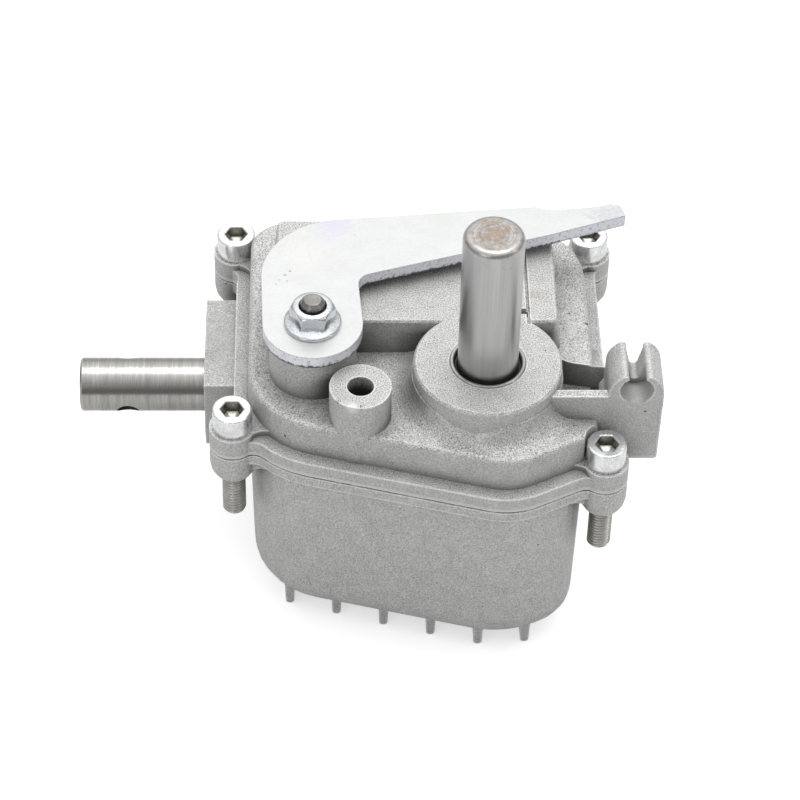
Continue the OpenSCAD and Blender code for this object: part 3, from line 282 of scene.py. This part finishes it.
def casting(name, dark, pale, grain, bump, contrast, marks, highlight_and_shade_lines=()):
    """Blasted aluminium between two greys, with more contrast where it faces up, as the shot hits it there. Marks
    are given as (x, y, z, radius, strength, tint), in mm. Level lines along the walls, each given as (z, half
    height, tint), in mm, are painted highlight and painted shade lines."""
    made, tree, bsdf = principled(name, metallic=0.35, roughness=0.52)
    texture = placed(tree, grain_group, {"Grain": grain})
    wear_and_highlight = placed(tree, worn_and_highlit_group, {"Radius": 0.5, "Strength": 3.2})
    height, facing = z_of(tree, place_on_piece(tree)), upwardness(tree)

    mean_tone = 0.66
    level = calc(tree, "SUBTRACT", texture["Shade"], 0.5)
    spread = calc(tree, "MULTIPLY_ADD", level, remap(tree, facing, 0.0, 1.0, *contrast), mean_tone, clamp=True)
    colour = blend_colour(tree, spread, dark, pale)

    # Outer edges are painted paler in patches, partly as rubbed metal and partly as painted highlight, but never on
    # the narrow ledge where the main boss's foot begins
    ledge_z, ledge_half = -4.4 * mm, 0.9 * mm
    bare_and_highlit_metal = tuple(min(1.0, 1.35 * part) for part in pale)
    patchy_edges = calc(tree, "MULTIPLY", wear_and_highlight["Mask"], remap(tree, spread, 0.0, 1.0, 0.3))
    edge_lightening = calc(tree, "SUBTRACT", patchy_edges, calc(tree, "COMPARE", height, ledge_z, ledge_half), clamp=True)
    colour = blend_colour(tree, edge_lightening, colour, bare_and_highlit_metal)
    colour = blend_colour(tree, texture["Pits"], colour, (0.05, 0.05, 0.05))

    # Level lines of painted highlight and painted shade along the walls, drawn a little ragged
    for z, half, tint in highlight_and_shade_lines:
        uneven = calc(tree, "MULTIPLY_ADD", texture["Shade"], 0.9 * mm, height)
        colour = blend_colour(tree, calc(tree, "COMPARE", uneven, z * mm, half * mm), colour, tint)

    # Painted shade in corners, kept below the tops of the bosses, and stronger on walls than on level faces
    corner_shade = placed(tree, painted_corner_shade_group, {"Reach": 10.0, "Strength": 1.0})
    low = remap(tree, height, -1.2 * mm, -4.0 * mm)
    kept = calc(tree, "MULTIPLY", low, remap(tree, facing, 0.4, 0.95, 1.0, 0.35))
    colour = blend_colour(tree, calc(tree, "MULTIPLY", kept, corner_shade["Mask"]), colour, (0.08, 0.08, 0.078))

    tree.links.new(stains_and_painted_light(tree, colour, texture["Shade"], marks), bsdf.inputs["Base Color"])
    relief = node(tree, "ShaderNodeBump", {"Strength": bump, "Distance": 0.2 * mm, "Height": texture["Height"],
                                           "Normal": wear_and_highlight["Normal"]})
    tree.links.new(relief.outputs[0], bsdf.inputs["Normal"])
    return made


def wears(material, *names):
    """Gives each CAD node this material in place of its own."""
    for name in names:
        slots = cad[name].data.materials
        slots.clear()
        slots.append(material)


rust, near_black, fresh, lit_bore_grey = (0.30, 0.20, 0.10), (0.06, 0.06, 0.06), (0.82, 0.82, 0.81), (0.62, 0.62, 0.61)
# The grey mark on the clamp's bore is painted light: it lifts the bore's inside, and the painted corner shade there,
# to a lit grey
rust_and_lit_bore = [(12.8, 24.5, 0.0, 2.4, 0.3, rust), (36.2, -6.0, 0.0, 6.5, 0.6, lit_bore_grey)]
chips_of_tapped_boss = [(-33.6, -15.9, -0.4, 1.7, 0.9, fresh), (-31.4, -15.6, -0.4, 0.8, 0.9, near_black),
                        (-37.0, -13.7, -0.2, 0.7, 0.8, near_black)]
soot_spots = [(26.6, 24.0, -10.4, 0.8, 0.9, near_black), (22.0, 27.5, -10.0, 0.45, 0.9, near_black),
              (33.0, -10.0, 2.6, 0.5, 0.9, near_black)]
# Painted shade down inside the tapped hole
shade_in_tapped_hole = [(-31.5, -8.7, depth, 4.6, 0.9, near_black) for depth in (-4.5, -9.0)]
# On the cover, a painted highlight line along the flange's rim, and a painted shade line just above the joint
cast_cover = casting(
    "cast_cover", dark=(0.18, 0.18, 0.175), pale=(0.71, 0.71, 0.70), grain=0.33, bump=0.5, contrast=(2.2, 4.7),
    marks=rust_and_lit_bore + chips_of_tapped_boss + soot_spots + shade_in_tapped_hole,
    highlight_and_shade_lines=[(-22.7, 0.3, (0.66, 0.66, 0.65)), (-23.8, 0.25, (0.22, 0.22, 0.215))])
cast_pan = casting(
    "cast_pan", dark=(0.22, 0.22, 0.215), pale=(0.70, 0.70, 0.695), grain=0.34, bump=0.45, contrast=(3.0, 4.2),
    marks=[(-68.0, 31.7, -24.4, 30.0, 0.6, (0.36, 0.36, 0.355)), (-70.3, 27.6, -24.3, 2.6, 0.35, rust)])
wears(cast_cover, "upper_casing")
wears(cast_pan, "lower_casing")

sealing, tree, bsdf = principled("sealing_compound", 0.0, 0.7)
texture = placed(tree, grain_group, {"Grain": 2.5, "Mottle": 9.0})
broken = remap(tree, texture["Shade"], 0.47, 0.62)
tree.links.new(blend_colour(tree, broken, (0.04, 0.035, 0.03), (0.50, 0.50, 0.49)), bsdf.inputs["Base Color"])
wears(sealing, "casing_gasket")

# Metal and rubber parts: zinc-plated screws, nut and lever, ground and turned steel shafts, hardened gear and
# clutch parts, bronze wheel rim and bushes, and rubber seals. All are pressed, screwed or pinned in place.


def streaks():
    """Fine tool marks: noise that is stretched by its own scale along each axis."""
    tree, given, result = group("streaks", {"Scale": (1, 1, 1), "Contrast": 2.0}, {"Value": 0.0})
    stretched = node(tree, "ShaderNodeVectorMath", {0: place_on_piece(tree), 1: given["Scale"]},
                     operation="MULTIPLY").outputs[0]
    coarse, fine = (node(tree, "ShaderNodeTexNoise", {"Vector": stretched, "Scale": per_metre, "Detail": 2.0})
                    for per_metre in (300.0, 2000.0))
    both = node(tree, "ShaderNodeMix", {"Factor": 0.5, "A": coarse.outputs[0], "B": fine.outputs[0]})
    level = calc(tree, "SUBTRACT", both.outputs[0], 0.5)
    tree.links.new(calc(tree, "MULTIPLY_ADD", level, given["Contrast"], 0.5, clamp=True), result["Value"])
    return tree


streak_group = streaks()


def turned_rings(tree, colour, upward):
    """Colour with the fine rings that a lathe leaves on an end that faces up: noise over the distance from Z."""
    flat = node(tree, "ShaderNodeVectorMath", {0: place_on_piece(tree), 1: (1, 1, 0)}, operation="MULTIPLY")
    radius = node(tree, "ShaderNodeVectorMath", {0: flat.outputs[0]}, operation="LENGTH").outputs["Value"]
    rings = node(tree, "ShaderNodeTexNoise", {"W": radius, "Scale": 1600.0, "Detail": 3.0}, noise_dimensions="1D")
    shade = remap(tree, rings.outputs[0], 0.3, 0.7, 0.68, 1.0)
    return blend_colour(tree, remap(tree, upward, 0.97, 0.99), colour, shade, how="MULTIPLY")


def sheared_edge(tree, bsdf, colour, upward, relief):
    """Cut edge of plated sheet: a bluish plated band, mottled where the steel tore, rounded by the press."""
    place = place_on_piece(tree)
    edge = remap(tree, upward, 0.6, 0.2)
    torn = node(tree, "ShaderNodeTexNoise", {"Vector": place, "Scale": 1300.0, "Detail": 3.0,
                                             "Roughness": 0.7}).outputs[0]
    cut = blend_colour(tree, remap(tree, torn, 0.34, 0.46), (0.50, 0.51, 0.56), (0.85, 0.87, 0.92))

    # A dark burr follows the lower edge, where the tool came out of the sheet
    burr_start, burr_full = 4.7 * mm, 4.3 * mm
    ragged = calc(tree, "MULTIPLY_ADD", torn, 3 * mm, z_of(tree, place))
    cut = blend_colour(tree, remap(tree, ragged, burr_start, burr_full), cut, (0.16, 0.16, 0.18))
    tree.links.new(remap(tree, edge, 0.0, 1.0, 0.45, 0.35), bsdf.inputs["Metallic"])
    rolled = node(tree, "ShaderNodeBevel", {"Radius": 1.3 * mm, "Normal": relief}, samples=corner_samples)
    normal = node(tree, "ShaderNodeMix", {"Factor": edge, 4: relief, 5: rolled.outputs[0]}, data_type="VECTOR")
    tree.links.new(normal.outputs[1], bsdf.inputs["Normal"])
    return blend_colour(tree, edge, colour, cut)


def worked_metal(name, dark, pale, roughness, scale, contrast=2.5, wear_and_highlight=0.3, marks=(), turned_end=False,
                 sheared=False, corner_shade=None):
    """Machined or plated metal between two colours, with tool marks along one direction. Marks are given as (x, y,
    z, radius, strength, tint), in mm, and the corner shade argument is the reach and strength of painted shade in
    its corners."""
    made, tree, bsdf = principled(name, 1.0, roughness)
    upward = upwardness(tree)
    tooling = placed(tree, streak_group, {"Scale": scale, "Contrast": contrast})["Value"]
    edge = placed(tree, worn_and_highlit_group, {"Radius": wear_and_highlight, "Strength": 1.6})
    # Outer edges are painted paler: partly bare rubbed metal, partly painted highlight
    bare_and_highlit_metal = tuple(min(1.0, 1.15 * part) for part in pale)
    colour = blend_colour(tree, edge["Mask"], blend_colour(tree, tooling, dark, pale), bare_and_highlit_metal)
    if marks:
        colour = stains_and_painted_light(tree, colour, placed(tree, grain_group, {"Grain": 1.2})["Shade"], marks)
    if corner_shade:
        painted_shade_mask = placed(tree, painted_corner_shade_group, {"Reach": corner_shade[0], "Strength": corner_shade[1]})["Mask"]
        colour = blend_colour(tree, painted_shade_mask, colour, (0.05, 0.052, 0.055))
    if turned_end:
        colour = turned_rings(tree, colour, upward)
    gloss = remap(tree, tooling, 0.0, 1.0, roughness + 0.08, roughness - 0.05)
    tree.links.new(gloss, bsdf.inputs["Roughness"])
    relief = node(tree, "ShaderNodeBump", {"Strength": 0.1, "Distance": 0.05 * mm, "Height": tooling,
                                           "Normal": edge["Normal"]}).outputs[0]
    tree.links.new(relief, bsdf.inputs["Normal"])
    if sheared:
        colour = sheared_edge(tree, bsdf, colour, upward, relief)
    tree.links.new(colour, bsdf.inputs["Base Color"])
    return made


# How much the tool marks are drawn out: 1 is short, and a small number is long along that axis
even, turned_x, turned_z = (1, 1, 1), (1, 0.1, 0.1), (1, 1, 0.2)
bright_zinc = worked_metal("bright_zinc", (0.60, 0.61, 0.61), (0.97, 0.98, 0.98), 0.22, even, 2.6)
# The nut has painted shade where its hex meets its flange
nut_zinc = worked_metal("nut_zinc", (0.48, 0.51, 0.53), (0.86, 0.89, 0.91), 0.13, even, 2.2, wear_and_highlight=0.25,
                        corner_shade=(2.5, 0.8))
# The oily zinc also has painted shade in its thread grooves
oily_zinc = worked_metal("oily_zinc", (0.28, 0.275, 0.245), (0.60, 0.595, 0.555), 0.28, even, 2.2, corner_shade=(1.0, 0.5))
ground_steel = worked_metal("ground_steel", (0.37, 0.37, 0.367), (0.58, 0.58, 0.575), 0.32, (1.5, 1.5, 0.03), 1.3,
                            turned_end=True, marks=[(0.0, 0.0, 42.6, 6.4, 0.85, (0.38, 0.30, 0.235))])
turned_steel = worked_metal("turned_steel", (0.27, 0.262, 0.247), (0.50, 0.488, 0.464), 0.23, (2.2, 0.09, 0.09), 2.3)
hard_steel = worked_metal("hard_steel", (0.26, 0.26, 0.26), (0.46, 0.46, 0.46), 0.34, turned_x)
polished_steel = worked_metal("polished_steel", (0.60, 0.60, 0.61), (0.75, 0.75, 0.76), 0.15, (0.1, 0.1, 1), 1.5)
dark_steel = worked_metal("dark_steel", (0.17, 0.163, 0.155), (0.36, 0.35, 0.335), 0.30, turned_z)
bronze = worked_metal("bronze", (0.48, 0.31, 0.12), (0.68, 0.49, 0.22), 0.30, turned_x)

# The lever's plating has pale violet and yellow tints, a few specks near its head, a dent, and painted shade on its
# tip
plating_tints = [
    (-38.0, 43.0, 6.0, 6.0, 0.7, (0.62, 0.60, 0.72)), (-46.0, 33.0, 6.0, 7.0, 0.5, (0.72, 0.73, 0.66)),
    (-31.0, 14.0, 6.0, 4.0, 0.5, (0.64, 0.63, 0.72)), (-10.0, 46.0, 6.0, 6.0, 0.5, (0.62, 0.65, 0.62))]
specks = [(x, y, 6.0, radius, strong, (grey, grey, grey)) for x, y, radius, strong, grey in (
    (-50.2, 24.8, 0.42, 0.7, 0.24), (-49.0, 26.2, 0.34, 0.7, 0.24), (-51.6, 23.0, 0.34, 0.7, 0.28),
    (-49.6, 22.6, 0.3, 0.6, 0.28), (-52.4, 21.4, 0.3, 0.6, 0.28))]
dent_and_tip_shade = [(-32.5, 39.7, 6.0, 0.4, 0.6, (0.45, 0.45, 0.46)), (33.0, 46.0, 6.5, 6.0, 0.6, (0.50, 0.52, 0.54))]
zinc_sheet = worked_metal("zinc_sheet", (0.60, 0.605, 0.60), (0.73, 0.735, 0.735), 0.32, (0.5, 0.8, 1), 1.5,
                          sheared=True, marks=plating_tints + specks + dent_and_tip_shade)

rubber, tree, bsdf = principled("rubber", 0.0, 0.6)
texture = placed(tree, grain_group, {"Grain": 0.3})
tree.links.new(blend_colour(tree, texture["Shade"], (0.015, 0.015, 0.016), (0.05, 0.05, 0.05)),
               bsdf.inputs["Base Color"])

wears(bright_zinc, "casing_screws", "lever_nut")
wears(zinc_sheet, "lever")
wears(ground_steel, "input_shaft")
wears(turned_steel, "output_shaft")
wears(hard_steel, "input_seal_ring", "shaft_retaining_ring", "bearing_retaining_ring", "worm", "worm_pin",
      "lower_thrust_washer", "wheel_hub", "wheel_thrust_washer", "clutch_sleeve", "output_retaining_ring",
      "output_thrust_washer", "shift_fork", "fork_pin", "return_spring")
wears(polished_steel, "bearing_outer_ring", "bearing_inner_ring", "bearing_balls")
wears(dark_steel, "selector_shaft")
wears(bronze, "worm_wheel", "bearing_cage", "lower_input_bush", "left_output_bush", "right_output_bush",
      "fork_shoes")
wears(rubber, "input_seal", "output_seal", "selector_o_ring")

# Casing screws: M6 x 30 socket head screws of zinc-plated steel, with a rolled thread of 1 mm pitch up to 6 mm
# below the head. They hold the cover on the pan, and their ends stand out under the pan's ears. Sizes are in
# millimetres, and heights are from the seat of the head.
screw_places = np.array([(-63.2, -4.8), (29.2, -16.7), (29.3, 59.4), (-63.4, 59.8)])
screw_seat_z = -17.73
screw_length, thread_length, pitch, rings_per_pitch = 30.0, 24.0, 1.0, 8
major_r, thread_depth, tip_r, tip_slope = 2.98, 0.56, 2.1, 0.9
head_r, head_h, socket_r, socket_depth = 5.0, 6.0, 2.5, 3.4


def closed_surface(name, ring_r, ring_z, centres, hollow=False):
    """Mesh of a surface of rings: point (i, j) stands at radius ring_r[i, j] and height ring_z[i, j], at angle
    2 pi j / columns. The last ring joins the first when hollow, and else both close in a pole. The whole is
    repeated at each centre."""
    rows, columns = ring_r.shape
    turn = 2 * np.pi * np.arange(columns) / columns
    points = np.stack((ring_r * np.cos(turn), ring_r * np.sin(turn), ring_z + 0 * turn), axis=-1).reshape(-1, 3)
    poles = np.array([(0, 0, ring_z[0].mean()), (0, 0, ring_z[-1].mean())])
    start = (np.arange(rows - 1)[:, None] * columns + np.arange(columns)).ravel()
    after = (np.arange(rows - 1)[:, None] * columns + (np.arange(columns) + 1) % columns).ravel()
    quads = np.stack((start, after, after + columns, start + columns), axis=-1)
    low, high = np.arange(columns), (rows - 1) * columns + np.arange(columns)
    if hollow:
        one, fans = points, np.zeros((0, 3), dtype=int)
        quads = np.concatenate((quads, np.stack((high, np.roll(high, -1), np.roll(low, -1), low), axis=-1)))
    else:
        one = np.concatenate((points, poles))
        fans = np.concatenate((np.stack((np.roll(low, -1), low, 0 * low + rows * columns), axis=-1),
                               np.stack((high, np.roll(high, -1), 0 * high + rows * columns + 1), axis=-1)))
    shift = np.arange(len(centres))[:, None, None] * len(one)
    moves = np.concatenate((centres, np.zeros((len(centres), 1))), axis=1)[:, None, :]
    mesh = bpy.data.meshes.new(name)
    mesh.from_pydata(((one[None] + moves) / 1000).reshape(-1, 3).tolist(), [],
                     (quads[None] + shift).reshape(-1, 4).tolist() + (fans[None] + shift).reshape(-1, 3).tolist())
    mesh.update()
    mesh.shade_smooth()
    mesh.set_sharp_from_angle(angle=math.radians(32))
    piece = bpy.data.objects.new(name, mesh)
    bpy.context.collection.objects.link(piece)
    return piece


def thread(heights, turn, outer, depth):
    """Radius of a right-hand V thread: the outer radius less depth times a wave of height and angle, with narrow
    flats on crest and root."""
    phase = (heights[:, None] / pitch - turn / (2 * np.pi)) % 1.0
    return outer - depth * np.clip(1.3 * np.abs(2 * phase - 1) - 0.12, 0, 1)


columns = 48
turn = 2 * np.pi * np.arange(columns) / columns
hexagon = 1 / np.cos(turn % (np.pi / 3) - np.pi / 6)
circle = np.ones(columns)

# The thread runs out over its last pitch, and its first turns are cut down to a cone
threaded = np.arange(-screw_length, -screw_length + thread_length + 0.01, pitch / rings_per_pitch)
run_out = np.clip((-screw_length + thread_length - threaded) / pitch, 0, 1)[:, None]
cut_r = major_r - (major_r - thread(threaded, turn, major_r, thread_depth)) * run_out
cut_r = np.minimum(cut_r, (tip_r + (threaded + screw_length) * tip_slope)[:, None])

# Shank, head with edges knocked down, and hex socket with a chamfered mouth and a drill point
socket_floor = head_h - socket_depth
above_thread = [
    (major_r, circle, -0.2), (3.2, circle, 0.0), (head_r - 0.12, circle, 0.0), (head_r, circle, 0.12),
    (head_r, circle, head_h - 0.55), (head_r - 0.10, circle, head_h - 0.22), (head_r - 0.42, circle, head_h),
    (socket_r + 0.28, hexagon, head_h), (socket_r, hexagon, head_h - 0.28), (socket_r, hexagon, socket_floor),
    (socket_r * 0.9, hexagon, socket_floor - 0.1), (0.4, circle, socket_floor - 0.9)]
screw_r = np.concatenate((cut_r, np.array([radius * shape for radius, shape, _ in above_thread])))
screw_z = np.concatenate((threaded, [height for _, _, height in above_thread]))[:, None] + screw_seat_z
screws = closed_surface("casing_screws_threaded", screw_r, screw_z, screw_places)
screws.data.materials.append(bright_zinc)
screws.data.materials.append(oily_zinc)

# Oil stays in the thread and in the socket, down to the fan that closes its floor
rows = len(screw_z) - 1
row = np.repeat(np.arange(rows), columns)
oily_wall = (row < len(threaded) - 1) | (row >= rows - 3)
oily_end = np.arange(2 * columns) >= columns
oily = np.concatenate((np.tile(oily_wall, len(screw_places)), np.tile(oily_end, len(screw_places))))
screws.data.polygons.foreach_set("material_index", oily.astype(np.int32))
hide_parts("casing_screws")
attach(screws, "casing")

# Lever nut: M6 flange nut, 10 mm across flats, cold-formed and zinc-plated. Its corners and its crown are rounded,
# and a countersink leads into the thread, which stays open round the stud. Heights are from its flange's face.
nut_at, nut_z = np.array([(-43.2, 7.5)]), 6.04
across_flats, nut_h, flange_r, flange_h = 10.0, 6.0, 7.1, 1.1
neck_low, neck_high, neck_slope = 1.2, 2.0, 1.9
crown_z, corner_out, crown_curve = 4.6, 0.75, 0.62
sink_r, groove_r, groove_depth, bore_min_r = [3.55, 3.40], 3.3, 0.28, 3.05


def rounded_hexagon(turn, half, power):
    """Radius of a hexagon with soft corners: the power mean of the distances to its three pairs of flats."""
    sides = np.abs(np.cos(turn[None, :] - np.pi / 6 - np.pi / 3 * np.arange(3)[:, None]))
    return half / (sides ** power).sum(axis=0) ** (1 / power)


columns = 96
turn = 2 * np.pi * np.arange(columns) / columns
circle = np.ones(columns)
flats = rounded_hexagon(turn, across_flats / 2, power=40)

cone_z = np.array([0.0, 0.0, 0.12, 0.75, 0.95, flange_h])
cone_r = np.array([3.2, flange_r - 0.2, flange_r, flange_r, flange_r - 0.15, flange_r - 0.5])
neck_z = np.linspace(neck_low, neck_high, 5)
neck_r = np.maximum(flats, (flange_r - 0.5 - (neck_z - flange_h) * neck_slope)[:, None])
hex_z = np.concatenate((np.linspace(neck_high, crown_z, 8), np.linspace(crown_z + 0.1, nut_h, 10)))
corner_r = across_flats / 2 + corner_out - np.clip(hex_z - crown_z, 0, 2) ** 2 * crown_curve
hex_r = np.minimum(flats, corner_r[:, None])
bore_z = np.concatenate(([nut_h, nut_h - 0.15], np.arange(nut_h - 0.7, 0.1, -pitch / rings_per_pitch)))
bore_r = np.maximum(bore_min_r, thread(bore_z, turn, groove_r, groove_depth))
bore_r[:2] = np.array(sink_r)[:, None]
nut_r = np.concatenate((cone_r[:, None] * circle, neck_r, hex_r, bore_r))
nut_heights = np.concatenate((cone_z, neck_z, hex_z, bore_z))[:, None] + nut_z
nut = closed_surface("lever_nut_rounded", nut_r, nut_heights, nut_at, hollow=True)
nut.data.materials.append(nut_zinc)
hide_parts("lever_nut")
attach(nut, "selector")
